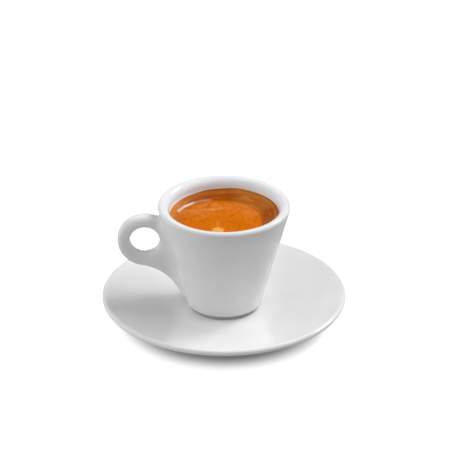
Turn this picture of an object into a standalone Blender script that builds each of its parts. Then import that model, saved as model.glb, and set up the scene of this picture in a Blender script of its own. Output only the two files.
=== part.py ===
"""Espresso with its crema in a thick white porcelain cup with a ring handle, on a matching saucer.

Metres, +Z up. The origin is the centre of the saucer's foot ring, on the surface that it stands on.
The handle points along -X. Each sub-part is one closed solid: saucer, cup and espresso.
"""

import math

import bmesh
import bpy

MM = 0.001

# Pieces that rest on or in each other keep this gap.
CLEARANCE = 0.3 * MM
SEGMENTS = 60
HOLE_STEPS = 36
HALVINGS = 30

# Points nearer to each other than this are one point.
TURN_MERGE = 0.05 * MM
WELD = 0.02 * MM
CUT_TOLERANCE = 0.01 * MM

# The saucer: a flat well, a straight sloping brim and a foot ring.
SAUCER_RADIUS = 60.0 * MM
SAUCER_TOP = 13.4 * MM
SAUCER_EDGE_RADIUS = 1.45 * MM
WELL_FLOOR = 7.0 * MM
WELL_RADIUS = 24.5 * MM
WELL_CURVE_END = 30.5 * MM
BRIM_ANGLE = math.radians(11.2)
BRIM_END = 56.3 * MM
WELL_THICKNESS = 4.0 * MM
BRIM_ROOT_THICKNESS = 3.7 * MM
SAUCER_FOOT_OUTER = 34.2 * MM
SAUCER_FOOT_INNER = 31.2 * MM
SAUCER_FOOT_FLARE = 1.4 * MM
FOOT_ROUNDING = 0.5 * MM

# The cup: a straight cone with a full round lip and a slightly inset foot.
CUP_BASE = WELL_FLOOR + CLEARANCE
CUP_HEIGHT = 54.8 * MM
CUP_TOP = CUP_BASE + CUP_HEIGHT
WALL_ANGLE = math.radians(15.0)
LIP_CREST_RADIUS = 30.75 * MM
LIP_OUTER_ROUNDING = 1.55 * MM
LIP_INNER_WIDTH = 3.4 * MM
LIP_INNER_DEPTH = 4.2 * MM
WALL_BOTTOM = CUP_BASE + 2.7 * MM
WALL_BOTTOM_ROUNDING = 0.7 * MM
CUP_FOOT_RADIUS = 17.9 * MM
CUP_FOOT_TOP = WALL_BOTTOM - 0.98 * MM
CUP_FOOT_WIDTH = 3.2 * MM
CUP_FOOT_RECESS = 1.6 * MM
CUP_FLOOR = CUP_BASE + 6.0 * MM
CUP_FLOOR_CURVE = 7.0 * MM

# The handle: a ring against the wall, with a web that sweeps from under the ring down to the foot.
RING_X = -38.7 * MM
RING_Z = 42.7 * MM
RING_OUTER = 13.5 * MM
RING_HOLE = 7.45 * MM
RING_JOIN_ANGLE = math.radians(65.0)
SWEEP_RADIUS = 24.0 * MM
SWEEP_LEAN = math.radians(8.4)
SWEEP_END_ANGLE = math.radians(20.0)
HANDLE_HALF_DEPTH = 4.05 * MM
HANDLE_ROUNDING = 2.6 * MM
HANDLE_ROOT_DEPTH = 3.4 * MM
HANDLE_FILLET = 6.0 * MM
FILLET_FADE_TOP = 9.0 * MM
FILLET_FADE_TOE = 12.0 * MM
FILLET_LEAST = 0.25
HANDLE_TOE = WALL_BOTTOM + 0.6 * MM
HANDLE_TOE_STEP = 0.3 * MM
# Depths at which the root is cut across, from inside the wall to the start of the fillet.
ROOT_CUTS = [depth * MM for depth in (-2.8, -2.2, -1.6, -1.0, -0.4, 0.3, 1.1, 2.1, 3.4, 5.2)]

# The drink: a level pool of crema, and a slope up to where it clings to the wall.
CREMA_EDGE = 57.3 * MM
CREMA_LEVEL = 53.0 * MM
CREMA_SLOPE_WIDTH = 6.2 * MM
CREMA_SLOPE_POWER = 1.25
CREMA_SLOPE_STEPS = 6

PORCELAIN = (0.86, 0.86, 0.85, 1.0)
CREMA = (0.60, 0.17, 0.012, 1.0)


def arc(centre, radii, start, end, steps):
    """Points on an elliptic arc in the (r, z) plane, angles in radians from +r towards +z."""
    points = []
    for step in range(steps + 1):
        angle = start + (end - start) * step / steps
        points.append((centre[0] + radii[0] * math.cos(angle), centre[1] + radii[1] * math.sin(angle)))
    return points


def lip_tangent():
    """Where the outer rounding of the lip runs into the straight wall."""
    return (
        LIP_CREST_RADIUS + LIP_OUTER_ROUNDING * math.cos(WALL_ANGLE),
        CUP_TOP - LIP_OUTER_ROUNDING - LIP_OUTER_ROUNDING * math.sin(WALL_ANGLE),
    )


def wall_radius(z):
    """Outer radius of the cup's cone at height z."""
    radius, height = lip_tangent()
    return radius - (height - z) * math.tan(WALL_ANGLE)


def bore_radius(z):
    """Inner radius of the cup at height z, below the lip's inner curve."""
    top = CUP_TOP - LIP_INNER_DEPTH
    return LIP_CREST_RADIUS - LIP_INNER_WIDTH - (top - z) * math.tan(WALL_ANGLE)


def bore_curve(offset, steps):
    """The curve between the bore's floor and its wall, moved inwards by offset."""
    radius = CUP_FLOOR_CURVE - offset
    floor = CUP_FLOOR + offset
    centre_z = floor + radius
    centre_r = bore_radius(centre_z) - (radius + offset) / math.cos(WALL_ANGLE)
    return arc((centre_r, centre_z), (radius, radius), -math.pi / 2, -WALL_ANGLE, steps)


def saucer_profile():
    """From the centre of the well outwards over the brim, round the edge and back under the foot."""
    slope = math.tan(BRIM_ANGLE)
    curve_width = WELL_CURVE_END - WELL_RADIUS
    curve_radius = curve_width / math.sin(BRIM_ANGLE)
    well_curve = arc(
        (WELL_RADIUS, WELL_FLOOR + curve_radius),
        (curve_radius, curve_radius),
        -math.pi / 2,
        -math.pi / 2 + BRIM_ANGLE,
        4,
    )
    brim_start = well_curve[-1]
    brim_end = (BRIM_END, brim_start[1] + (BRIM_END - brim_start[0]) * slope)
    edge_centre = (SAUCER_RADIUS - SAUCER_EDGE_RADIUS, SAUCER_TOP - SAUCER_EDGE_RADIUS)
    edge = arc(edge_centre, (SAUCER_EDGE_RADIUS,) * 2, math.pi / 2, -math.pi / 2 + BRIM_ANGLE, 7)
    under_end_r = SAUCER_FOOT_OUTER + SAUCER_FOOT_FLARE
    brim_above = brim_start[1] + (under_end_r - brim_start[0]) * slope
    under_end = (under_end_r, brim_above - BRIM_ROOT_THICKNESS)
    under_well = WELL_FLOOR - WELL_THICKNESS
    foot = [
        (SAUCER_FOOT_OUTER, FOOT_ROUNDING),
        (SAUCER_FOOT_OUTER - FOOT_ROUNDING, 0.0),
        (SAUCER_FOOT_INNER + FOOT_ROUNDING, 0.0),
        (SAUCER_FOOT_INNER, FOOT_ROUNDING),
        (SAUCER_FOOT_INNER - SAUCER_FOOT_FLARE, under_well),
    ]
    middle = WELL_RADIUS / 2
    centre_top = [(0.0, WELL_FLOOR), (middle, WELL_FLOOR)]
    return centre_top + well_curve + [brim_end] + edge + [under_end] + foot + [(0.0, under_well)]


def cup_profile():
    """From the centre of the bore up its wall, over the lip, down the cone and back under the foot."""
    lip_top = CUP_TOP - LIP_INNER_DEPTH
    lip_inner = arc(
        (LIP_CREST_RADIUS, lip_top), (LIP_INNER_WIDTH, LIP_INNER_DEPTH), math.pi, math.pi / 2, 6
    )
    lip_outer = arc(
        (LIP_CREST_RADIUS, CUP_TOP - LIP_OUTER_ROUNDING),
        (LIP_OUTER_ROUNDING,) * 2,
        math.pi / 2,
        -WALL_ANGLE,
        5,
    )
    middle = (CUP_TOP + WALL_BOTTOM) / 2
    bottom_centre = (
        wall_radius(WALL_BOTTOM) - WALL_BOTTOM_ROUNDING / math.cos(WALL_ANGLE),
        WALL_BOTTOM,
    )
    wall_bottom = arc(bottom_centre, (WALL_BOTTOM_ROUNDING,) * 2, -WALL_ANGLE, -math.pi / 2, 3)
    foot_inner = CUP_FOOT_RADIUS - CUP_FOOT_WIDTH
    foot = [
        (CUP_FOOT_RADIUS, CUP_FOOT_TOP),
        (CUP_FOOT_RADIUS, CUP_BASE + FOOT_ROUNDING),
        (CUP_FOOT_RADIUS - FOOT_ROUNDING, CUP_BASE),
        (foot_inner + FOOT_ROUNDING, CUP_BASE),
        (foot_inner, CUP_BASE + FOOT_ROUNDING),
        (foot_inner - FOOT_ROUNDING, CUP_BASE + CUP_FOOT_RECESS),
        (0.0, CUP_BASE + CUP_FOOT_RECESS),
    ]
    bore = [(0.0, CUP_FLOOR)] + bore_curve(0.0, 5)
    return bore + lip_inner + lip_outer + [(wall_radius(middle), middle)] + wall_bottom + foot


def espresso_profile():
    """From the centre of the crema out to the wall, then down inside the bore."""
    edge_radius = bore_radius(CREMA_EDGE) - CLEARANCE / math.cos(WALL_ANGLE)
    rise = CREMA_EDGE - CREMA_LEVEL
    pool_radius = edge_radius - CREMA_SLOPE_WIDTH
    crema = [(0.0, CREMA_LEVEL), (pool_radius / 2, CREMA_LEVEL)]
    for step in range(CREMA_SLOPE_STEPS + 1):
        share = step / CREMA_SLOPE_STEPS
        height = CREMA_LEVEL + rise * share**CREMA_SLOPE_POWER
        crema.append((pool_radius + CREMA_SLOPE_WIDTH * share, height))
    bottom = bore_curve(CLEARANCE, 5)[::-1]
    return crema + bottom + [(0.0, CUP_FLOOR + CLEARANCE)]


def handle_outline():
    """The handle's outline in the (x, z) plane, from inside the wall over the ring and down the web."""
    sweep_reach = RING_OUTER + SWEEP_RADIUS
    sweep_centre = (
        RING_X - sweep_reach * math.sin(SWEEP_LEAN),
        RING_Z - sweep_reach * math.cos(SWEEP_LEAN),
    )
    ring_end = math.radians(270.0) - SWEEP_LEAN
    ring = arc((RING_X, RING_Z), (RING_OUTER,) * 2, RING_JOIN_ANGLE, ring_end, 26)
    sweep = arc(
        sweep_centre, (SWEEP_RADIUS,) * 2, math.pi / 2 - SWEEP_LEAN, SWEEP_END_ANGLE, 14
    )
    top = ring[0][1]
    buried_top = (-wall_radius(top) + HANDLE_ROOT_DEPTH, top)
    toe = (-wall_radius(HANDLE_TOE) - HANDLE_TOE_STEP, HANDLE_TOE)
    buried_toe = (-wall_radius(HANDLE_TOE) + HANDLE_ROOT_DEPTH, HANDLE_TOE)
    return [buried_top] + ring + sweep[1:] + [toe, buried_toe]


def fillet_radius(z):
    """The root's fillet at height z: full along the web, fading out at its top and at its toe."""
    top = RING_Z + RING_OUTER * math.sin(RING_JOIN_ANGLE)
    share = min((top - z) / FILLET_FADE_TOP, (z - HANDLE_TOE) / FILLET_FADE_TOE)
    share = min(max(share, 0.0), 1.0)
    return HANDLE_FILLET * (FILLET_LEAST + (1.0 - FILLET_LEAST) * share * (2.0 - share))


def fillet_width(x, y, z, widening):
    """Width that the fillet asks for where the handle's side already stands out by widening."""
    radius = fillet_radius(z)
    side = y + math.copysign(widening, y)
    reach = (math.hypot(x, side) - wall_radius(z)) * math.cos(WALL_ANGLE)
    share = min(max(1.0 - reach / radius, 0.0), 1.0)
    return radius * (1.0 - math.sqrt(1.0 - share**2))


def root_widening(x, y, z):
    """How much the handle's side moves out at this point to run into the round wall in a fillet."""
    low, high = 0.0, fillet_radius(z)
    for _ in range(HALVINGS):
        middle = (low + high) / 2
        if fillet_width(x, y, z, middle) > middle:
            low = middle
        else:
            high = middle
    return low


def clear_scene():
    for obj in list(bpy.data.objects):
        bpy.data.objects.remove(obj, do_unlink=True)


def new_collection(name):
    collection = bpy.data.collections.new(name)
    bpy.context.scene.collection.children.link(collection)
    return collection


def new_material(name, colour, roughness, coat):
    material = bpy.data.materials.new(name)
    material.use_nodes = True
    shader = material.node_tree.nodes["Principled BSDF"]
    shader.inputs["Base Color"].default_value = colour
    shader.inputs["Roughness"].default_value = roughness
    shader.inputs["Metallic"].default_value = 0.0
    shader.inputs["Coat Weight"].default_value = coat
    return material


def turned(name, profile, material, collection):
    """A solid of revolution about Z from an open profile whose two ends lie on the axis."""
    mesh = bpy.data.meshes.new(name)
    shape = bmesh.new()
    verts = [shape.verts.new((r, 0.0, z)) for r, z in profile]
    for first, second in zip(verts, verts[1:]):
        shape.edges.new((first, second))
    shape.to_mesh(mesh)
    shape.free()
    mesh.materials.append(material)
    obj = bpy.data.objects.new(name, mesh)
    collection.objects.link(obj)
    screw = obj.modifiers.new("turn", "SCREW")
    screw.steps = SEGMENTS
    screw.render_steps = SEGMENTS
    screw.use_merge_vertices = True
    screw.merge_threshold = TURN_MERGE
    screw.use_smooth_shade = True
    return obj


def handle_plate(collection):
    """The handle as a round-edged plate with its hole, made from a flat curve, as a mesh object."""
    curve = bpy.data.curves.new("handle_outline", "CURVE")
    curve.dimensions = "2D"
    curve.fill_mode = "BOTH"
    curve.extrude = HANDLE_HALF_DEPTH - HANDLE_ROUNDING
    curve.bevel_depth = HANDLE_ROUNDING
    curve.bevel_resolution = 4
    curve.offset = -HANDLE_ROUNDING
    last_angle = math.tau * (1.0 - 1.0 / HOLE_STEPS)
    hole = arc((RING_X, RING_Z), (RING_HOLE,) * 2, 0.0, last_angle, HOLE_STEPS - 1)
    for outline in (handle_outline(), hole):
        spline = curve.splines.new("POLY")
        spline.points.add(len(outline) - 1)
        for point, (x, z) in zip(spline.points, outline):
            point.co = (x, z, 0.0, 1.0)
        spline.use_cyclic_u = True
    flat = bpy.data.objects.new("handle_outline", curve)
    flat.rotation_euler = (math.pi / 2, 0.0, 0.0)
    collection.objects.link(flat)
    bpy.context.view_layer.update()
    evaluated = flat.evaluated_get(bpy.context.evaluated_depsgraph_get())
    mesh = bpy.data.meshes.new_from_object(evaluated)
    mesh.transform(flat.matrix_world)
    bpy.data.objects.remove(flat, do_unlink=True)
    plate = bpy.data.objects.new("handle", mesh)
    collection.objects.link(plate)
    shape = bmesh.new()
    shape.from_mesh(mesh)
    bmesh.ops.remove_doubles(shape, verts=shape.verts, dist=WELD)
    bmesh.ops.recalc_face_normals(shape, faces=shape.faces)
    shape.to_mesh(mesh)
    shape.free()
    return plate


def cut_root(plate):
    """Cut the plate along lines parallel to the wall, so that its root can bend outwards."""
    outwards = (-math.cos(WALL_ANGLE), 0.0, -math.sin(WALL_ANGLE))
    shape = bmesh.new()
    shape.from_mesh(plate.data)
    for depth in ROOT_CUTS:
        on_wall = (-wall_radius(RING_Z) + depth * outwards[0], 0.0, RING_Z + depth * outwards[2])
        bmesh.ops.bisect_plane(
            shape,
            geom=shape.verts[:] + shape.edges[:] + shape.faces[:],
            dist=CUT_TOLERANCE,
            plane_co=on_wall,
            plane_no=outwards,
        )
    shape.to_mesh(plate.data)
    shape.free()


def widen_root(plate):
    shape = bmesh.new()
    shape.from_mesh(plate.data)
    bmesh.ops.triangulate(shape, faces=shape.faces[:])
    for vert in shape.verts:
        x, y, z = vert.co
        vert.co.y *= 1.0 + root_widening(x, y, z) / HANDLE_HALF_DEPTH
    shape.to_mesh(plate.data)
    shape.free()


def hide_helper(obj):
    obj.hide_render = True
    obj.display_type = "WIRE"


def make_handle(collection):
    handle = handle_plate(collection)
    cut_root(handle)
    widen_root(handle)
    hide_helper(handle)
    return handle


def make_cup(material, collection, helpers):
    cup = turned("cup", cup_profile(), material, collection)
    join = cup.modifiers.new("handle", "BOOLEAN")
    join.operation = "UNION"
    join.solver = "MANIFOLD"
    join.object = make_handle(helpers)
    return cup


def main():
    clear_scene()
    parts = new_collection("espresso_shot")
    helpers = new_collection("helpers")
    porcelain = new_material("porcelain", PORCELAIN, 0.08, 0.5)
    crema = new_material("crema", CREMA, 0.35, 0.2)
    turned("saucer", saucer_profile(), porcelain, parts)
    make_cup(porcelain, parts, helpers)
    turned("espresso", espresso_profile(), crema, parts)


main()
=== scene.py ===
"""An espresso with its crema in a glazed porcelain cup, on its saucer, in a white studio.

Sizes are in metres, +Z up. The handle points along -X and the camera looks from -Y.
"""

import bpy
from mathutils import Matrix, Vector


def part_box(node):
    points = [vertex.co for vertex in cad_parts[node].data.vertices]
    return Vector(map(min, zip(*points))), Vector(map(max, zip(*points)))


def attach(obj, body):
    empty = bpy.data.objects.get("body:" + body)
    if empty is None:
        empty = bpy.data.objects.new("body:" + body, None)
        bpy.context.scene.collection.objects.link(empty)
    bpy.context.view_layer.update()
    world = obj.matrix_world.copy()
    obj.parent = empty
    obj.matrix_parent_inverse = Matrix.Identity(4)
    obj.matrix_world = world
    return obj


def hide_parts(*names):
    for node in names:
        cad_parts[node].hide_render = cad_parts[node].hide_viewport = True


bl_info = {
    "name": "Espresso in its cup",
    "version": (1, 0, 0),
    "blender": (4, 5, 0),
    "location": "3D View > Sidebar > Espresso",
    "description": "Models a glazed cup and saucer with an espresso, and sets up its studio",
    "category": "Add Mesh",
}

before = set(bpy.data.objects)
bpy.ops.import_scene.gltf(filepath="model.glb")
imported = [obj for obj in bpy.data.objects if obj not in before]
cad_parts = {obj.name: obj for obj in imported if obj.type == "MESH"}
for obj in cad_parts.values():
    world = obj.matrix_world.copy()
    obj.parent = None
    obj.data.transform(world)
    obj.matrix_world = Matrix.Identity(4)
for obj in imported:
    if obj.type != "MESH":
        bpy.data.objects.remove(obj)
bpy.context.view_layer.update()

import math

import bmesh
import bpy
from bpy.props import FloatProperty, FloatVectorProperty, PointerProperty
from mathutils import Vector, noise

CUP_LOW, CUP_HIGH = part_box("cup")
SAUCER_LOW, SAUCER_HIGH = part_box("saucer")

MM = 0.001
TURN_STEPS = 288
SPIN_WELD = 0.001 * MM

# The cup's cone, lip and foot.
WALL_ANGLE = math.radians(15.0)
LIP_CREST_RADIUS = 30.75 * MM
LIP_OUTER_ROUNDING = 1.55 * MM
LIP_INNER_WIDTH = 3.85 * MM
LIP_INNER_DEPTH = 4.2 * MM
SEAT_GAP = 0.3 * MM
FOOT_ROUNDING = 0.5 * MM
WALL_BOTTOM_RISE = 2.7 * MM
WALL_BOTTOM_ROUNDING = 0.9 * MM
FOOT_TOP_DROP = 1.17 * MM
CUP_FOOT_WIDTH = 3.2 * MM
CUP_FOOT_RECESS = 1.6 * MM
CUP_FLOOR_RISE = 6.0 * MM
CUP_FLOOR_CURVE = 7.0 * MM
# The bare band on the cup's foot reaches above the real glaze line, and its dark colour paints the
# shade under the cup.
CUP_BARE_AND_SHADE_HEIGHT = 1.7 * MM

# The handle: a ring with a web that sweeps down to the foot.
RING_JOIN_ANGLE = math.radians(65.0)
SWEEP_RADIUS = 24.0 * MM
SWEEP_LEAN = math.radians(8.4)
SWEEP_END_ANGLE = math.radians(20.0)
HANDLE_ROUNDING = 2.9 * MM
HANDLE_ROOT_DEPTH = 3.4 * MM
FILLET_FADE_TOP = 9.0 * MM
FILLET_FADE_TOE = 12.0 * MM
FILLET_LEAST = 0.25
FILLET_HALVINGS = 24
TOE_RISE = 0.6 * MM
TOE_STANDS_OUT = 0.3 * MM
HOLE_STEPS = 120
HANDLE_GRAIN = 0.42 * MM
HANDLE_SMOOTHING = 14
SEAM_REACH = 0.5 * MM
SEAM_HALF_WIDTH = 14.0 * MM
SEAM_ABOVE_RING = 2.0 * MM
SEAM_SMOOTHING = 6
PLATE_WELD = 0.01 * MM
SEAM_WELD = 0.02 * MM

# The saucer's edge, well and foot ring.
WELL_THICKNESS = 4.0 * MM
BRIM_ROOT_THICKNESS = 3.7 * MM
SAUCER_EDGE_RADIUS = 1.45 * MM
SAUCER_FOOT_OUTER = 34.2 * MM
SAUCER_FOOT_INNER = 31.2 * MM
SAUCER_FOOT_FLARE = 1.4 * MM
SAUCER_BARE_HEIGHT = 0.35 * MM
BRIM_END_INSET = 3.7 * MM

# The crema: its pool lies off the cup's axis, and its edge rises and falls round the wall.
POOL_X = -2.3 * MM
POOL_Y = -0.3 * MM
EDGE_HIGH = 0.3 * MM
EDGE_HIGH_ANGLE = math.radians(45.0)
EDGE_LOW = 0.7 * MM
EDGE_LOW_ANGLE = math.radians(150.0)
EDGE_RIPPLE = 0.3 * MM
SLOPE_SOFTNESS = 0.22
SLOPE_PAST_WALL = 1.1
SWELL_SIZE = 9.0 * MM
SWELL_DEPTH = 0.10 * MM
WALL_OVERLAP = 0.35 * MM
TOP_TOLERANCE = 0.01 * MM

# Where the pale marks lie on the crema. The painted highlight's radius is from the pool's centre.
HIGHLIGHT_RADIUS = 21.8 * MM
FLECK_X = -2.9 * MM
FLECK_Y = -11.0 * MM
TAIL_Y = -4.0 * MM
SWIRL_X = -10.5 * MM
SWIRL_Y = 12.3 * MM

# Colours that the panel doesn't show.
# Painted cool tint inside the lip, which offsets the orange light that the crema throws on the wall.
PAINTED_COOL_LIP = (0.80, 0.86, 0.90, 1.0)
SPECK = (0.60, 0.57, 0.53, 1.0)
# Painted shade: the thin dark line where the crema meets the wall.
CONTACT_SHADE = (0.12, 0.03, 0.005, 1.0)
# Colour of the painted highlight, a pale streak on the crema's slope.
HIGHLIGHT_PALE = (0.92, 0.70, 0.55, 1.0)

# The table: a grey disc whose painted glow begins under the saucer's brim and leaves the floor beneath
# the saucer darker.
TABLE_RADIUS = 6.0
GLOW_START = 41.0 * MM
GLOW_FULL = 56.0 * MM

# The soft lights: azimuth, elevation and how wide each one looks, in degrees.
LIGHTS = {
    "key": (34.0, 39.0, 14.0),
    "side_low": (5.0, 30.0, 40.0),
    "side_high": (-15.0, 50.0, 40.0),
    "back": (40.0, 50.0, 40.0),
    "left_fill": (152.0, 15.0, 70.0),
    "front_fill": (215.0, 40.0, 60.0),
}

# The camera: a long lens at the photograph's angle.
CAMERA_DISTANCE = 1.5
CAMERA_ELEVATION = math.radians(27.39)
CAMERA_LENS = 245.9
CAMERA_AIM = (0.49 * MM, 0.0, 50.43 * MM)
CAMERA_SENSOR = 36.0
CAMERA_REACH = 20.0


class CupSettings(bpy.types.PropertyGroup):
    """Sizes of the cup and its handle."""

    foot_radius: FloatProperty(
        name="Foot radius", description="Outer radius of the cup's foot ring",
        default=17.4 * MM, unit="LENGTH",
    )
    ring_radius: FloatProperty(
        name="Ring radius", description="Outer radius of the handle's ring",
        default=13.5 * MM, unit="LENGTH",
    )
    ring_hole: FloatProperty(
        name="Ring hole", description="Radius of the hole in the handle's ring",
        default=7.2 * MM, unit="LENGTH",
    )
    ring_reach: FloatProperty(
        name="Ring reach", description="Distance of the ring's centre from the cup's axis",
        default=38.7 * MM, unit="LENGTH",
    )
    ring_height: FloatProperty(
        name="Ring height", description="Height of the ring's centre above the table",
        default=42.7 * MM, unit="LENGTH",
    )
    handle_depth: FloatProperty(
        name="Handle depth", description="Thickness of the handle from front to back",
        default=8.1 * MM, unit="LENGTH",
    )
    root_fillet: FloatProperty(
        name="Root fillet", description="Radius of the fillet between handle and wall",
        default=6.0 * MM, unit="LENGTH",
    )


class SaucerSettings(bpy.types.PropertyGroup):
    """Sizes of the saucer."""

    radius: FloatProperty(
        name="Radius", description="Outer radius of the saucer",
        default=59.97 * MM, unit="LENGTH",
    )
    well_floor: FloatProperty(
        name="Well height", description="Height of the well, on which the cup stands",
        default=7.0 * MM, unit="LENGTH",
    )
    well_radius: FloatProperty(
        name="Well radius", description="Radius of the flat middle of the well",
        default=24.5 * MM, unit="LENGTH",
    )
    brim_start: FloatProperty(
        name="Brim start", description="Radius at which the well's curve ends and the brim begins",
        default=30.5 * MM, unit="LENGTH",
    )
    brim_angle: FloatProperty(
        name="Brim angle", description="Slope of the brim",
        default=math.radians(11.2), unit="ROTATION",
    )


class CremaSettings(bpy.types.PropertyGroup):
    """Sizes and colours of the crema."""

    level: FloatProperty(
        name="Level", description="Height of the middle of the crema above the table",
        default=53.0 * MM, unit="LENGTH",
    )
    edge: FloatProperty(
        name="Edge height", description="Mean height at which the crema meets the wall",
        default=57.0 * MM, unit="LENGTH",
    )
    pool_radius: FloatProperty(
        name="Pool radius", description="Radius of the level middle of the crema",
        default=20.9 * MM, unit="LENGTH",
    )
    bright: FloatVectorProperty(
        name="Crema", description="Colour of the crema in the middle",
        default=(0.59, 0.135, 0.0), subtype="COLOR", size=3, min=0.0, max=1.0,
    )
    # The darker crema near the wall, which also paints the shade on the slope.
    dark: FloatVectorProperty(
        name="Rim stain and painted shade", description="Colour of the thin, dark crema near the wall",
        default=(0.34, 0.068, 0.0), subtype="COLOR", size=3, min=0.0, max=1.0,
    )
    pale: FloatVectorProperty(
        name="Froth", description="Colour of the palest froth",
        default=(0.80, 0.42, 0.10), subtype="COLOR", size=3, min=0.0, max=1.0,
    )


class GlazeSettings(bpy.types.PropertyGroup):
    """Finish of the porcelain."""

    white: FloatVectorProperty(
        name="Glaze", description="Colour of the glazed porcelain",
        default=(0.80, 0.80, 0.80), subtype="COLOR", size=3, min=0.0, max=1.0,
    )
    # The bare foot's colour, darker than real bisque: partly painted shade.
    bisque_and_shade: FloatVectorProperty(
        name="Bare foot and painted shade", description="Colour of the unglazed foot rings",
        default=(0.48, 0.475, 0.465), subtype="COLOR", size=3, min=0.0, max=1.0,
    )
    roughness: FloatProperty(
        name="Roughness", description="Roughness of the glaze", default=0.12, min=0.0, max=1.0,
    )


class StudioSettings(bpy.types.PropertyGroup):
    """Strength of the studio's lights."""

    key: FloatProperty(
        name="Key light", description="Strength of the small light at the back right",
        default=0.99, min=0.0,
    )
    side_low: FloatProperty(
        name="Low side light", description="Strength of the low light at the right",
        default=0.29, min=0.0,
    )
    side_high: FloatProperty(
        name="High side light", description="Strength of the high light at the right",
        default=0.96, min=0.0,
    )
    back: FloatProperty(
        name="Back light", description="Strength of the wide light round the key",
        default=1.21, min=0.0,
    )
    left_fill: FloatProperty(
        name="Left fill", description="Strength of the wide low light at the back left",
        default=1.42, min=0.0,
    )
    front_fill: FloatProperty(
        name="Front fill", description="Strength of the wide light at the front left",
        default=1.30, min=0.0,
    )
    horizon: FloatProperty(
        name="Horizon", description="Brightness of the room behind the table",
        default=0.40, min=0.0,
    )
    ceiling: FloatProperty(
        name="Ceiling", description="Brightness of the room overhead",
        default=0.05, min=0.0,
    )
    bounce: FloatProperty(
        name="Bounce", description="Brightness that the porcelain receives from below",
        default=0.43, min=0.0,
    )
    floor_glow: FloatProperty(
        name="Floor glow", description="Light that the table gives off outside the saucer's foot ring",
        default=0.76, min=0.0,
    )


def arc(centre, radii, start, end, steps):
    """Points on an elliptic arc in the (r, z) plane, angles in radians from +r towards +z."""
    points = []
    for step in range(steps + 1):
        angle = start + (end - start) * step / steps
        across = centre[0] + radii[0] * math.cos(angle)
        points.append((across, centre[1] + radii[1] * math.sin(angle)))
    return points


def line(start, end, steps):
    """Points that divide a straight line evenly, without its two ends."""
    shares = [step / steps for step in range(1, steps)]
    return [tuple(a + (b - a) * share for a, b in zip(start, end)) for share in shares]


def cup_top():
    return CUP_HIGH.z


def cup_base():
    return CUP_LOW.z


def wall_radius(z):
    """Outer radius of the cup's cone at height z."""
    radius = LIP_CREST_RADIUS + LIP_OUTER_ROUNDING * math.cos(WALL_ANGLE)
    height = cup_top() - LIP_OUTER_ROUNDING * (1.0 + math.sin(WALL_ANGLE))
    return radius - (height - z) * math.tan(WALL_ANGLE)


def bore_radius(z):
    """Inner radius of the cup at height z, below the lip's inner curve."""
    top = cup_top() - LIP_INNER_DEPTH
    return LIP_CREST_RADIUS - LIP_INNER_WIDTH - (top - z) * math.tan(WALL_ANGLE)


def bore_curve(offset, steps):
    """The curve between the bore's floor and its wall, moved into the wall by offset."""
    radius = CUP_FLOOR_CURVE + offset
    centre_z = cup_base() + CUP_FLOOR_RISE + CUP_FLOOR_CURVE
    centre_r = bore_radius(centre_z) - CUP_FLOOR_CURVE / math.cos(WALL_ANGLE)
    return arc((centre_r, centre_z), (radius, radius), -math.pi / 2, -WALL_ANGLE, steps)


def spun(shape, profile):
    """Spin a profile whose ends lie on the axis into a closed shape of revolution."""
    verts = [shape.verts.new((r, 0.0, z)) for r, z in profile]
    edges = [shape.edges.new(pair) for pair in zip(verts, verts[1:])]
    bmesh.ops.spin(
        shape, geom=verts + edges, cent=(0.0, 0.0, 0.0), axis=(0.0, 0.0, 1.0), dvec=(0.0, 0.0, 0.0),
        angle=math.tau, steps=TURN_STEPS, use_merge=True,
    )
    bmesh.ops.remove_doubles(shape, verts=shape.verts, dist=SPIN_WELD)
    bmesh.ops.recalc_face_normals(shape, faces=shape.faces)


def new_piece(name, shape, material):
    """A smooth-shaded object at the origin, made from a bmesh that the call frees."""
    mesh = bpy.data.meshes.new(name)
    shape.to_mesh(mesh)
    shape.free()
    mesh.shade_smooth()
    if material is not None:
        mesh.materials.append(material)
    piece = bpy.data.objects.new(name, mesh)
    bpy.context.scene.collection.objects.link(piece)
    return piece


def evaluated_mesh(piece):
    """A new mesh of the piece with its modifiers applied."""
    bpy.context.view_layer.update()
    depsgraph = bpy.context.evaluated_depsgraph_get()
    return bpy.data.meshes.new_from_object(piece.evaluated_get(depsgraph))


def dress(piece, node):
    """Show the piece in place of its CAD node."""
    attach(piece, "root")
    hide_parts(node)


def foot_corners(outer, inner, bottom):
    """The two rounded corners of a foot ring, from its outer to its inner side."""
    radii = (FOOT_ROUNDING,) * 2
    centre_z = bottom + FOOT_ROUNDING
    outside = arc((outer - FOOT_ROUNDING, centre_z), radii, 0.0, -math.pi / 2, steps=5)
    inside = arc((inner + FOOT_ROUNDING, centre_z), radii, -math.pi / 2, -math.pi, steps=5)
    return outside + inside


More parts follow.
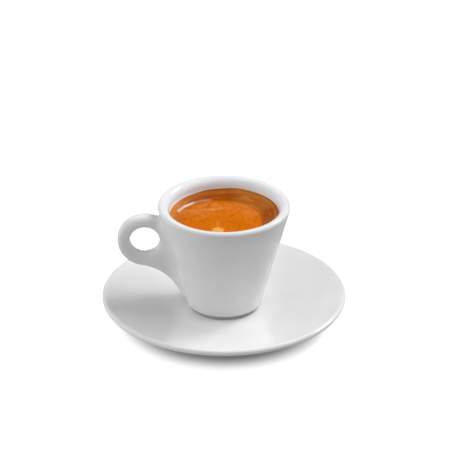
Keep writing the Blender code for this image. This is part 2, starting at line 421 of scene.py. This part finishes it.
def saucer_profile(sizes):
    """From the centre of the well over the brim, round the edge and back under the foot."""
    slope = math.tan(sizes.brim_angle)
    curve_radius = (sizes.brim_start - sizes.well_radius) / math.sin(sizes.brim_angle)
    well_curve = arc(
        (sizes.well_radius, sizes.well_floor + curve_radius), (curve_radius,) * 2,
        -math.pi / 2, -math.pi / 2 + sizes.brim_angle, steps=12,
    )
    start_r, start_z = well_curve[-1]
    edge = arc(
        (sizes.radius - SAUCER_EDGE_RADIUS, SAUCER_HIGH.z - SAUCER_EDGE_RADIUS),
        (SAUCER_EDGE_RADIUS,) * 2, math.pi / 2, -math.pi / 2 + sizes.brim_angle, steps=18,
    )
    brim_end_r = sizes.radius - BRIM_END_INSET
    brim_end = (brim_end_r, start_z + (brim_end_r - start_r) * slope)
    under_r = SAUCER_FOOT_OUTER + SAUCER_FOOT_FLARE
    under_end = (under_r, start_z + (under_r - start_r) * slope - BRIM_ROOT_THICKNESS)
    under_well = sizes.well_floor - WELL_THICKNESS
    foot = foot_corners(SAUCER_FOOT_OUTER, SAUCER_FOOT_INNER, 0.0)
    recess = [(SAUCER_FOOT_INNER - SAUCER_FOOT_FLARE, under_well), (0.0, under_well)]
    middle = (0.0, sizes.well_floor)
    well = [middle] + line(middle, well_curve[0], steps=10) + well_curve
    brim = line(well_curve[-1], brim_end, steps=10) + [brim_end]
    under = line(edge[-1], under_end, steps=8) + [under_end]
    return well + brim + edge + under + foot + recess


def cup_profile(sizes):
    """From the centre of the bore up its wall, over the lip, down the cone and under the foot."""
    top, base = cup_top(), cup_base()
    seat = base - SEAT_GAP
    floor = (0.0, base + CUP_FLOOR_RISE)
    bore = bore_curve(0.0, steps=14)
    lip_inner = arc(
        (LIP_CREST_RADIUS, top - LIP_INNER_DEPTH), (LIP_INNER_WIDTH, LIP_INNER_DEPTH),
        math.pi, math.pi / 2, steps=20,
    )
    lip_outer = arc(
        (LIP_CREST_RADIUS, top - LIP_OUTER_ROUNDING), (LIP_OUTER_ROUNDING,) * 2,
        math.pi / 2, -WALL_ANGLE, steps=12,
    )
    wall_bottom = base + WALL_BOTTOM_RISE
    bottom_r = wall_radius(wall_bottom) - WALL_BOTTOM_ROUNDING / math.cos(WALL_ANGLE)
    bottom = arc(
        (bottom_r, wall_bottom), (WALL_BOTTOM_ROUNDING,) * 2, -WALL_ANGLE, -math.pi / 2, steps=8
    )
    outer, inner = sizes.foot_radius, sizes.foot_radius - CUP_FOOT_WIDTH
    foot = [(outer, wall_bottom - FOOT_TOP_DROP)] + foot_corners(outer, inner, seat)
    recess_z = seat + CUP_FOOT_RECESS
    recess = [(inner - FOOT_ROUNDING, recess_z), (0.0, recess_z)]
    return (
        [floor] + line(floor, bore[0], steps=6) + bore + line(bore[-1], lip_inner[0], steps=30)
        + lip_inner + lip_outer[1:] + line(lip_outer[-1], bottom[0], steps=52) + bottom
        + foot + recess
    )


def handle_outline(sizes):
    """The handle's outline in the (x, z) plane, from inside the wall over the ring and down the web."""
    reach = sizes.ring_radius + SWEEP_RADIUS
    centre = (-sizes.ring_reach, sizes.ring_height)
    sweep_centre = (
        centre[0] - reach * math.sin(SWEEP_LEAN), centre[1] - reach * math.cos(SWEEP_LEAN)
    )
    ring_end = math.radians(270.0) - SWEEP_LEAN
    ring = arc(centre, (sizes.ring_radius,) * 2, RING_JOIN_ANGLE, ring_end, steps=90)
    sweep = arc(
        sweep_centre, (SWEEP_RADIUS,) * 2, math.pi / 2 - SWEEP_LEAN, SWEEP_END_ANGLE, steps=50
    )
    top = ring[0][1]
    toe_z = cup_base() + WALL_BOTTOM_RISE + TOE_RISE
    buried_top = (-wall_radius(top) + HANDLE_ROOT_DEPTH, top)
    toe = (-wall_radius(toe_z) - TOE_STANDS_OUT, toe_z)
    buried_toe = (-wall_radius(toe_z) + HANDLE_ROOT_DEPTH, toe_z)
    return [buried_top] + ring + sweep[1:] + [toe, buried_toe]


def fillet_radius(sizes, z):
    """The root's fillet at height z: full along the web, fading out at its top and at its toe."""
    top = sizes.ring_height + sizes.ring_radius * math.sin(RING_JOIN_ANGLE)
    toe = cup_base() + WALL_BOTTOM_RISE + TOE_RISE
    share = min((top - z) / FILLET_FADE_TOP, (z - toe) / FILLET_FADE_TOE)
    share = min(max(share, 0.0), 1.0)
    return sizes.root_fillet * (FILLET_LEAST + (1.0 - FILLET_LEAST) * share * (2.0 - share))


def root_widening(sizes, point):
    """How much the handle's side moves out at this point to run into the round wall in a fillet."""
    radius = fillet_radius(sizes, point.z)
    low, high = 0.0, radius
    for _ in range(FILLET_HALVINGS):
        middle = (low + high) / 2
        side = abs(point.y) + middle
        reach = (math.hypot(point.x, side) - wall_radius(point.z)) * math.cos(WALL_ANGLE)
        share = min(max(1.0 - reach / radius, 0.0), 1.0)
        if radius * (1.0 - math.sqrt(1.0 - share**2)) > middle:
            low = middle
        else:
            high = middle
    return low


def smooth(shape, verts, rounds):
    """Move each vertex towards the middle of its neighbours, rounds times."""
    for _ in range(rounds):
        bmesh.ops.smooth_vert(
            shape, verts=verts, factor=0.5, use_axis_x=True, use_axis_y=True, use_axis_z=True
        )


def handle_plate(sizes):
    """The handle as a flat ring and web with round edges, made from its outline and its hole."""
    curve = bpy.data.curves.new("handle_outline", "CURVE")
    curve.dimensions = "2D"
    curve.fill_mode = "BOTH"
    curve.extrude = sizes.handle_depth / 2 - HANDLE_ROUNDING
    curve.bevel_depth = HANDLE_ROUNDING
    curve.bevel_resolution = 8
    curve.offset = -HANDLE_ROUNDING
    centre = (-sizes.ring_reach, sizes.ring_height)
    hole_end = math.tau * (HOLE_STEPS - 1) / HOLE_STEPS
    hole = arc(centre, (sizes.ring_hole,) * 2, 0.0, hole_end, steps=HOLE_STEPS - 1)
    for outline in (handle_outline(sizes), hole):
        spline = curve.splines.new("POLY")
        spline.points.add(len(outline) - 1)
        for point, (x, z) in zip(spline.points, outline):
            point.co = (x, z, 0.0, 1.0)
        spline.use_cyclic_u = True
    flat = bpy.data.objects.new("handle_outline", curve)
    flat.rotation_euler = (math.pi / 2, 0.0, 0.0)
    bpy.context.scene.collection.objects.link(flat)
    mesh = evaluated_mesh(flat)
    mesh.transform(flat.matrix_world)
    bpy.data.objects.remove(flat, do_unlink=True)
    shape = bmesh.new()
    shape.from_mesh(mesh)
    bmesh.ops.remove_doubles(shape, verts=shape.verts, dist=PLATE_WELD)
    bmesh.ops.recalc_face_normals(shape, faces=shape.faces)
    return new_piece("handle_plate", shape, None)


def handle_form(sizes):
    """The handle with an even fine mesh and a root that widens into the wall."""
    plate = handle_plate(sizes)
    remesh = plate.modifiers.new("even", "REMESH")
    remesh.mode = "VOXEL"
    remesh.voxel_size = HANDLE_GRAIN
    shape = bmesh.new()
    shape.from_mesh(evaluated_mesh(plate))
    bpy.data.objects.remove(plate, do_unlink=True)
    smooth(shape, shape.verts, HANDLE_SMOOTHING)
    half_depth = sizes.handle_depth / 2
    for vert in shape.verts:
        vert.co.y *= 1.0 + root_widening(sizes, vert.co) / half_depth
    return new_piece("handle_form", shape, None)


def soften_seam(shape, sizes):
    """Smooth the strip where the handle's fillet meets the cone."""
    toe = cup_base() + WALL_BOTTOM_RISE
    top = sizes.ring_height + sizes.ring_radius + SEAM_ABOVE_RING
    strip = []
    for vert in shape.verts:
        x, y, z = vert.co
        on_wall = abs(math.hypot(x, y) - wall_radius(z)) < SEAM_REACH
        if x < 0 and abs(y) < SEAM_HALF_WIDTH and toe < z < top and on_wall:
            strip.append(vert)
    smooth(shape, strip, SEAM_SMOOTHING)


def near_angle(angle, centre, width):
    """1 in the direction centre, falling off on both sides over about width."""
    return math.exp(-((math.remainder(angle - centre, math.tau) / width) ** 2))


def crema_edge(sizes, angle):
    """Height at which the crema meets the wall in this direction."""
    high = EDGE_HIGH * near_angle(angle, EDGE_HIGH_ANGLE, 0.7)
    low = EDGE_LOW * near_angle(angle, EDGE_LOW_ANGLE, 0.6)
    ripple = noise.noise(Vector((2.2 * math.cos(angle), 2.2 * math.sin(angle), 3.1)))
    return sizes.edge + high - low + EDGE_RIPPLE * ripple


def crema_climb(share):
    """How far the crema has climbed at this share of the way from the pool to the wall."""
    climb = math.hypot(share, SLOPE_SOFTNESS) - SLOPE_SOFTNESS
    return climb / (math.hypot(1.0, SLOPE_SOFTNESS) - SLOPE_SOFTNESS)


def crema_height(sizes, x, y):
    """Height of the crema: a level pool off the cup's axis, and a slope up to the uneven edge."""
    across, along = x - POOL_X, y - POOL_Y
    distance = math.hypot(across, along)
    if distance < 1e-9:
        return sizes.level
    towards = (POOL_X * across + POOL_Y * along) / distance
    wall = bore_radius(sizes.edge)
    to_wall = -towards + math.sqrt(towards**2 - POOL_X**2 - POOL_Y**2 + wall**2)
    share = max((distance - sizes.pool_radius) / (to_wall - sizes.pool_radius), 0.0)
    rise = crema_edge(sizes, math.atan2(y, x)) - sizes.level
    height = sizes.level + rise * crema_climb(min(share, SLOPE_PAST_WALL))
    place = Vector((x, y, 0.0)) / SWELL_SIZE
    swell = (noise.noise(place) + noise.noise(place * 3.1) * 0.3) * SWELL_DEPTH
    return height + swell * (1.0 - 0.5 * min(share, 1.0))


def crema_profile(sizes):
    """From the centre of the crema out into the wall, then down inside the wall to the floor."""
    edge_radius = bore_radius(sizes.edge) + WALL_OVERLAP / math.cos(WALL_ANGLE)
    floor = cup_base() + CUP_FLOOR_RISE - WALL_OVERLAP
    inside = bore_curve(WALL_OVERLAP, steps=12)[::-1]
    middle, edge = (0.0, sizes.edge), (edge_radius, sizes.edge)
    crema = [middle] + line(middle, edge, steps=96) + [edge]
    return crema + line(edge, inside[0], steps=20) + inside + [(0.0, floor)]


class Value:
    """A shader socket. An expression on it adds the Math nodes that work it out."""

    def __init__(self, recipe, socket):
        self.recipe = recipe
        self.socket = socket

    def maths(self, operation, *operands):
        return self.recipe.add("ShaderNodeMath", {"operation": operation}, dict(enumerate(operands)))

    def __add__(self, other):
        return self.maths("ADD", self, other)

    def __radd__(self, other):
        return self.maths("ADD", other, self)

    def __sub__(self, other):
        return self.maths("SUBTRACT", self, other)

    def __rsub__(self, other):
        return self.maths("SUBTRACT", other, self)

    def __mul__(self, other):
        return self.maths("MULTIPLY", self, other)

    def __truediv__(self, other):
        return self.maths("DIVIDE", self, other)

    def clamped(self):
        return self.maths("MINIMUM", self.maths("MAXIMUM", self, 0.0), 1.0)

    def root(self):
        return self.maths("SQRT", self)

    def between(self, low, high):
        """0 below low, 1 above high and a smooth rise between them."""
        settings = {"interpolation_type": "SMOOTHSTEP"}
        return self.recipe.add("ShaderNodeMapRange", settings, {0: self, 1: low, 2: high})


class Recipe:
    """Builds the nodes of a material or a world around its shader."""

    def __init__(self, owner, shader):
        owner.use_nodes = True
        self.owner = owner
        self.tree = owner.node_tree
        self.shader = self.tree.nodes[shader]

    def add(self, kind, settings, values, output=0):
        """Add a node: its settings first, then the values or links of its sockets."""
        node = self.tree.nodes.new(kind)
        for name, setting in settings.items():
            setattr(node, name, setting)
        for socket, value in values.items():
            self.put(node.inputs[socket], value)
        return Value(self, node.outputs[output])

    def put(self, socket, value):
        if isinstance(value, Value):
            self.tree.links.new(value.socket, socket)
        else:
            socket.default_value = value

    def finish(self, values):
        for name, value in values.items():
            self.put(self.shader.inputs[name], value)
        return self.owner

    def place(self):
        """The point on the piece, in metres."""
        return self.add("ShaderNodeTexCoord", {}, {}, "Object")

    def axes(self, place):
        split = self.add("ShaderNodeSeparateXYZ", {}, {0: place})
        return [Value(self, output) for output in split.socket.node.outputs]

    def noise(self, place, size, detail=2.0, roughness=0.5, distortion=0.0):
        """Cloudy noise whose blobs are about size across."""
        values = {
            "Vector": place, "Scale": 1.0 / size, "Detail": detail,
            "Roughness": roughness, "Distortion": distortion,
        }
        return self.add("ShaderNodeTexNoise", {}, values)

    def blend(self, first, second, share):
        """A colour between two colours."""
        settings = {"data_type": "RGBA"}
        return self.add("ShaderNodeMix", settings, {0: share, 6: first, 7: second}, 2)

    def bump(self, height, depth, strength=1.0):
        values = {"Height": height, "Distance": depth, "Strength": strength}
        return self.add("ShaderNodeBump", {}, values)


def material_recipe(name):
    return Recipe(bpy.data.materials.new(name), "Principled BSDF")


def colour(rgb):
    return (rgb[0], rgb[1], rgb[2], 1.0)


def grey(brightness):
    return (brightness, brightness, brightness, 1.0)


def shaded(rgb, share):
    """The colour at this share of its brightness."""
    return colour([part * share for part in rgb])


def mixed(first, second, share):
    """The colour at this share of the way from the first to the second."""
    return colour([a + (b - a) * share for a, b in zip(first, second)])


def distance_from_axis(across, along):
    return (across * across + along * along).root()


def spot(x, y, inner, outer):
    """1 where x squared plus y squared is below inner, 0 where it is above outer."""
    return 1.0 - (x * x + y * y).between(inner, outer)


def glaze_material(name, settings, foot_height):
    """White porcelain glaze with a painted cool tint inside the lip, against the crema's orange bounce
    light, and a bare foot ring below foot_height whose dark colour is partly painted shade.
    """
    recipe = material_recipe(name)
    place = recipe.place()
    across, along, height = recipe.axes(place)
    radius = distance_from_axis(across, along)
    cool_lip_mask = height.between(55 * MM, 57 * MM) * (1.0 - radius.between(28 * MM, 30.5 * MM))
    bare = 1.0 - height.between(foot_height, foot_height + 0.25 * MM)
    clouds = recipe.noise(place, size=14 * MM, detail=3.0)
    patches = recipe.noise(place, size=5 * MM, detail=3.0)
    waves = recipe.noise(place, size=2.2 * MM, detail=1.0)
    ripples = recipe.noise(place, size=0.6 * MM, detail=1.0)
    specks = recipe.noise(place, size=0.5 * MM, detail=0.0)
    grain = recipe.noise(place, size=0.25 * MM)
    shade = shaded(settings.white, 0.965)
    glaze = recipe.blend(colour(settings.white), shade, clouds.between(0.35, 0.75))
    # Painted cool tint inside the lip, against the crema's orange bounce light.
    glaze = recipe.blend(glaze, PAINTED_COOL_LIP, cool_lip_mask)
    glaze = recipe.blend(glaze, SPECK, specks.between(0.80, 0.84) * 0.5)
    # Bare foot, darker than real bisque: partly painted shade.
    bisque_and_shade = recipe.blend(colour(settings.bisque_and_shade), shaded(settings.bisque_and_shade, 0.85), grain)
    rough = settings.roughness + (patches - 0.5) * 0.05
    peel = waves * 0.010 + ripples * 0.002
    relief = peel * (1.0 - bare) + grain * bare * 0.05
    return recipe.finish({
        "Base Color": recipe.blend(glaze, bisque_and_shade, bare),
        "Roughness": rough * (1.0 - bare) + bare * 0.7,
        "Normal": recipe.bump(relief, MM),
        "IOR": 1.52,
    })


class CremaRecipe(Recipe):
    """The crema's material. Its parts share the places, noises and colours set here."""

    def __init__(self, settings):
        super().__init__(bpy.data.materials.new("crema"), "Principled BSDF")
        place = self.place()
        self.across, self.along, _ = self.axes(place)
        self.from_axis = distance_from_axis(self.across, self.along)
        self.off_centre = self.across - POOL_X
        self.from_pool = distance_from_axis(self.off_centre, self.along)
        self.clouds = self.noise(place, size=8 * MM, detail=5.0, roughness=0.65, distortion=1.5)
        self.wobble = self.noise(place, size=6 * MM, detail=3.0, roughness=0.6) - 0.5
        self.froth = self.noise(place, size=1.4 * MM, detail=4.0, roughness=0.65)
        self.grain = self.noise(place, size=0.45 * MM)
        self.bright = colour(settings.bright)
        self.dark = colour(settings.dark)
        self.pale = colour(settings.pale)
        self.tan = mixed(settings.bright, settings.pale, 0.45)
        self.russet = mixed(settings.bright, settings.dark, 0.7)

    def facing(self, x, distance, degrees):
        """The cosine of the angle between a point's direction and the one at degrees."""
        angle = math.radians(degrees)
        return (x * math.cos(angle) + self.along * math.sin(angle)) / distance

    def pool(self):
        """The level middle, paler towards the back, with a pale swirl."""
        back = self.along.between(-4 * MM, 15 * MM)
        pale_clouds = self.clouds.between(0.44, 0.68) * (0.10 + back * 0.35)
        body = self.blend(self.bright, self.tan, pale_clouds)
        body = self.blend(body, self.russet, (1.0 - self.clouds.between(0.34, 0.50)) * 0.5)
        body = self.blend(body, self.russet, self.froth.between(0.50, 0.66) * 0.55)
        body = self.blend(body, self.tan, (1.0 - self.froth.between(0.33, 0.44)) * 0.35)
        body = self.blend(body, self.russet, self.grain.between(0.50, 0.75) * 0.3)
        swirl_x = self.across - SWIRL_X - self.along * 0.35 + self.wobble * (4 * MM)
        swirl_y = self.along - SWIRL_Y - self.across * 0.08 + self.wobble * (3 * MM)
        swirl = spot(swirl_x / (6.5 * MM), swirl_y / (1.7 * MM), 0.2, 1.3)
        return self.blend(body, self.pale, swirl * self.froth.between(0.35, 0.6) * 0.35)

    def ring(self):
        """The slope: thin, darker crema in bands round the cup, partly painted shade, with painted
        light on its left side and a painted reflection at the right back.
        """
        around_x = self.across / self.from_axis * (7 * MM)
        around_y = self.along / self.from_axis * (7 * MM)
        place = self.add(
            "ShaderNodeCombineXYZ", {}, {0: around_x, 1: around_y, 2: self.from_axis * 2.5}
        )
        bands = self.noise(place, size=2.2 * MM, detail=3.0, roughness=0.6).between(0.48, 0.70)
        # Painted light: the left side of the slope, which faces the key light, is paler.
        painted_light_left = 1.0 - self.across.between(-25 * MM, -19 * MM)
        near_wall = self.from_axis.between(23.6 * MM, 25.6 * MM)
        # Painted reflection of the front fill light at the right back of the slope.
        painted_reflection_right_back = self.facing(self.across, self.from_axis, 50.0).between(0.80, 0.98)
        lighter = bands * 0.40 + painted_light_left * 0.40 + near_wall * 0.25 + painted_reflection_right_back * 0.28
        return self.blend(self.dark, self.tan, lighter.clamped())

    def painted_highlight(self):
        """A painted highlight: a thin pale line round the left back of the pool, fainter towards its
        end.
        """
        beside = self.from_pool - HIGHLIGHT_RADIUS + self.wobble * MM
        thin = 1.0 - (beside * beside).root().between(0.1 * MM, 0.8 * MM)
        clear = self.facing(self.off_centre, self.from_pool, 142.0).between(0.945, 0.975)
        faint = self.facing(self.off_centre, self.from_pool, 122.0).between(0.90, 0.98)
        return thin * (clear * 0.55 + faint * 0.25).clamped()

    def fleck(self):
        """A ragged pale fleck near the front, with a faint tail."""
        ragged = (self.froth - 0.5) * (5.0 * MM) + self.wobble * (2.0 * MM)
        x = (self.across - FLECK_X + ragged) / (3.0 * MM)
        y = (self.along - FLECK_Y + ragged) / (4.2 * MM)
        tail_x = (self.across - FLECK_X + ragged * 0.5) / (0.9 * MM)
        tail_y = (self.along - TAIL_Y) / (2.8 * MM)
        tail = spot(tail_x, tail_y, 0.4, 1.4)
        return (spot(x, y, 0.5, 1.2) * 0.75 + tail * 0.2).clamped()


def crema_material(settings):
    """Golden crema: a frothy pool, a darker ring up to the wall with painted shade and painted light, a
    painted highlight, a painted dark line at the wall and a fleck.
    """
    crema = CremaRecipe(settings)
    slope = (crema.from_pool + crema.wobble * (1.5 * MM)).between(19.5 * MM, 22 * MM)
    # Painted shade in a thin line where the crema meets the wall.
    contact_shade = crema.from_axis.between(25.6 * MM, 26.3 * MM)
    body = crema.blend(crema.pool(), crema.ring(), slope)
    # Painted highlight round the left back of the pool.
    body = crema.blend(body, HIGHLIGHT_PALE, crema.painted_highlight())
    body = crema.blend(body, CONTACT_SHADE, contact_shade * 0.25)
    body = crema.blend(body, crema.pale, crema.fleck())
    relief = crema.froth * 0.03 + crema.grain * 0.008 + crema.clouds * 0.08
    return crema.finish({
        "Base Color": body,
        "Roughness": 0.16 + (crema.froth - 0.5) * 0.10 + slope * 0.20,
        "Normal": crema.bump(relief, MM, 0.8),
        "IOR": 1.22,
    })


class ESPRESSO_OT_saucer(bpy.types.Operator):
    """Spin the saucer and glaze it"""

    bl_idname = "espresso.saucer"
    bl_label = "Saucer"

    def execute(self, context):
        scene = context.scene
        shape = bmesh.new()
        spun(shape, saucer_profile(scene.espresso_saucer))
        glaze = glaze_material("saucer_glaze", scene.espresso_glaze, SAUCER_BARE_HEIGHT)
        piece = new_piece("saucer_glazed", shape, glaze)
        dress(piece, "saucer")
        return {"FINISHED"}


class ESPRESSO_OT_cup(bpy.types.Operator):
    """Spin the cup, join its handle to it and glaze it"""

    bl_idname = "espresso.cup"
    bl_label = "Cup"

    def execute(self, context):
        scene = context.scene
        sizes = scene.espresso_cup
        shape = bmesh.new()
        spun(shape, cup_profile(sizes))
        body = new_piece("cup_body", shape, None)
        handle = handle_form(sizes)
        join = body.modifiers.new("handle", "BOOLEAN")
        join.operation = "UNION"
        join.solver = "MANIFOLD"
        join.object = handle
        joined = bmesh.new()
        joined.from_mesh(evaluated_mesh(body))
        if len(joined.faces) < TURN_STEPS:
            raise RuntimeError("The handle couldn't be joined to the cup")
        bmesh.ops.remove_doubles(joined, verts=joined.verts, dist=SEAM_WELD)
        soften_seam(joined, sizes)
        for helper in (handle, body):
            bpy.data.objects.remove(helper, do_unlink=True)
        # The bare band, raised to paint the shade at the cup's foot.
        bare_and_shade_below = cup_base() - SEAT_GAP + CUP_BARE_AND_SHADE_HEIGHT
        glaze = glaze_material("cup_glaze", scene.espresso_glaze, bare_and_shade_below)
        piece = new_piece("cup_glazed", joined, glaze)
        dress(piece, "cup")
        return {"FINISHED"}


class ESPRESSO_OT_crema(bpy.types.Operator):
    """Fill the cup with espresso and shape its crema"""

    bl_idname = "espresso.crema"
    bl_label = "Crema"

    def execute(self, context):
        sizes = context.scene.espresso_crema
        shape = bmesh.new()
        spun(shape, crema_profile(sizes))
        for vert in shape.verts:
            if vert.co.z > sizes.edge - TOP_TOLERANCE:
                vert.co.z = crema_height(sizes, vert.co.x, vert.co.y)
        piece = new_piece("espresso_crema", shape, crema_material(sizes))
        dress(piece, "espresso")
        return {"FINISHED"}


class ESPRESSO_OT_studio(bpy.types.Operator):
    """Set up the white table, the soft lights and the camera"""

    bl_idname = "espresso.studio"
    bl_label = "Studio"

    def execute(self, context):
        scene = context.scene
        settings = scene.espresso_studio
        self.table(scene, settings)
        self.room(scene, settings)
        for name in LIGHTS:
            self.light(scene, name, getattr(settings, name))
        self.camera(scene)
        scene.view_settings.view_transform = "Standard"
        return {"FINISHED"}

    def table(self, scene, settings):
        """A grey table that takes shadows and glows white from under the saucer's brim outwards:
        painted light, which leaves the floor under the saucer darker. The room gives the light that
        would come up from it.
        """
        shape = bmesh.new()
        bmesh.ops.create_circle(shape, cap_ends=True, radius=TABLE_RADIUS, segments=96)
        recipe = material_recipe("white_table")
        place = recipe.place()
        across, along, _ = recipe.axes(place)
        beside = distance_from_axis(across, along).between(GLOW_START, GLOW_FULL)
        paper = recipe.noise(place, size=40 * MM)
        material = recipe.finish({
            "Base Color": recipe.blend(grey(0.46), grey(0.44), paper),
            "Roughness": 0.9,
            # Painted light: the glow whitens the table from under the saucer's brim outwards and fades
            # out beneath the saucer.
            "Emission Color": recipe.blend(grey(0.0), grey(1.0), beside),
            "Emission Strength": settings.floor_glow,
        })
        table = new_piece("table", shape, material)
        table.visible_shadow = False
        table.visible_diffuse = False
        table.visible_glossy = False

    def room(self, scene, settings):
        """A pale horizon all round that darkens upwards, and the light from the table below it."""
        recipe = Recipe(bpy.data.worlds.new("white_room"), "Background")
        direction = recipe.add("ShaderNodeTexCoord", {}, {}, "Generated")
        height = recipe.axes(direction)[2]
        upper = height.between(0.05, 0.16) * (settings.ceiling - settings.horizon)
        lower = (1.0 - height.between(-0.30, -0.10)) * (settings.bounce - settings.horizon)
        brightness = settings.horizon + upper + lower
        scene.world = recipe.finish({"Color": (1.0, 1.0, 1.0, 1.0), "Strength": brightness})

    def light(self, scene, name, strength):
        """A distant soft light. Only the key shows in reflections."""
        azimuth, elevation, width = (math.radians(angle) for angle in LIGHTS[name])
        light = bpy.data.lights.new(name, "SUN")
        light.energy = strength
        light.angle = width
        lamp = bpy.data.objects.new(name, light)
        lamp.location = Vector((
            math.cos(azimuth) * math.cos(elevation),
            math.sin(azimuth) * math.cos(elevation),
            math.sin(elevation),
        ))
        lamp.rotation_euler = (-lamp.location).to_track_quat("-Z", "Y").to_euler()
        lamp.visible_glossy = name == "key"
        scene.collection.objects.link(lamp)

    def camera(self, scene):
        data = bpy.data.cameras.new("camera")
        data.lens = CAMERA_LENS
        data.sensor_width = CAMERA_SENSOR
        data.clip_end = CAMERA_REACH
        camera = bpy.data.objects.new("camera", data)
        back = Vector((0.0, -math.cos(CAMERA_ELEVATION), math.sin(CAMERA_ELEVATION)))
        camera.location = Vector(CAMERA_AIM) + back * CAMERA_DISTANCE
        camera.rotation_euler = (math.pi / 2 - CAMERA_ELEVATION, 0.0, 0.0)
        scene.collection.objects.link(camera)
        scene.camera = camera


class ESPRESSO_PT_panel(bpy.types.Panel):
    """Lists the pieces of the espresso and their settings"""

    bl_idname = "ESPRESSO_PT_panel"
    bl_label = "Espresso"
    bl_space_type = "VIEW_3D"
    bl_region_type = "UI"
    bl_category = "Espresso"

    def draw(self, context):
        for operator, group in PIECES:
            box = self.layout.box()
            box.operator(operator.bl_idname)
            settings = getattr(context.scene, group)
            for name in settings.__annotations__:
                box.prop(settings, name)


PIECES = (
    (ESPRESSO_OT_saucer, "espresso_saucer"),
    (ESPRESSO_OT_cup, "espresso_cup"),
    (ESPRESSO_OT_crema, "espresso_crema"),
    (ESPRESSO_OT_studio, "espresso_studio"),
)

GROUPS = {
    "espresso_saucer": SaucerSettings,
    "espresso_cup": CupSettings,
    "espresso_crema": CremaSettings,
    "espresso_glaze": GlazeSettings,
    "espresso_studio": StudioSettings,
}


def register():
    for name, group in GROUPS.items():
        bpy.utils.register_class(group)
        setattr(bpy.types.Scene, name, PointerProperty(type=group))
    for operator, _ in PIECES:
        bpy.utils.register_class(operator)
    bpy.utils.register_class(ESPRESSO_PT_panel)


def unregister():
    bpy.utils.unregister_class(ESPRESSO_PT_panel)
    for operator, _ in reversed(PIECES):
        bpy.utils.unregister_class(operator)
    for name, group in reversed(GROUPS.items()):
        delattr(bpy.types.Scene, name)
        bpy.utils.unregister_class(group)


def main():
    register()
    bpy.ops.espresso.saucer()
    bpy.ops.espresso.cup()
    bpy.ops.espresso.crema()
    bpy.ops.espresso.studio()


if __name__ == "__main__":
    main()
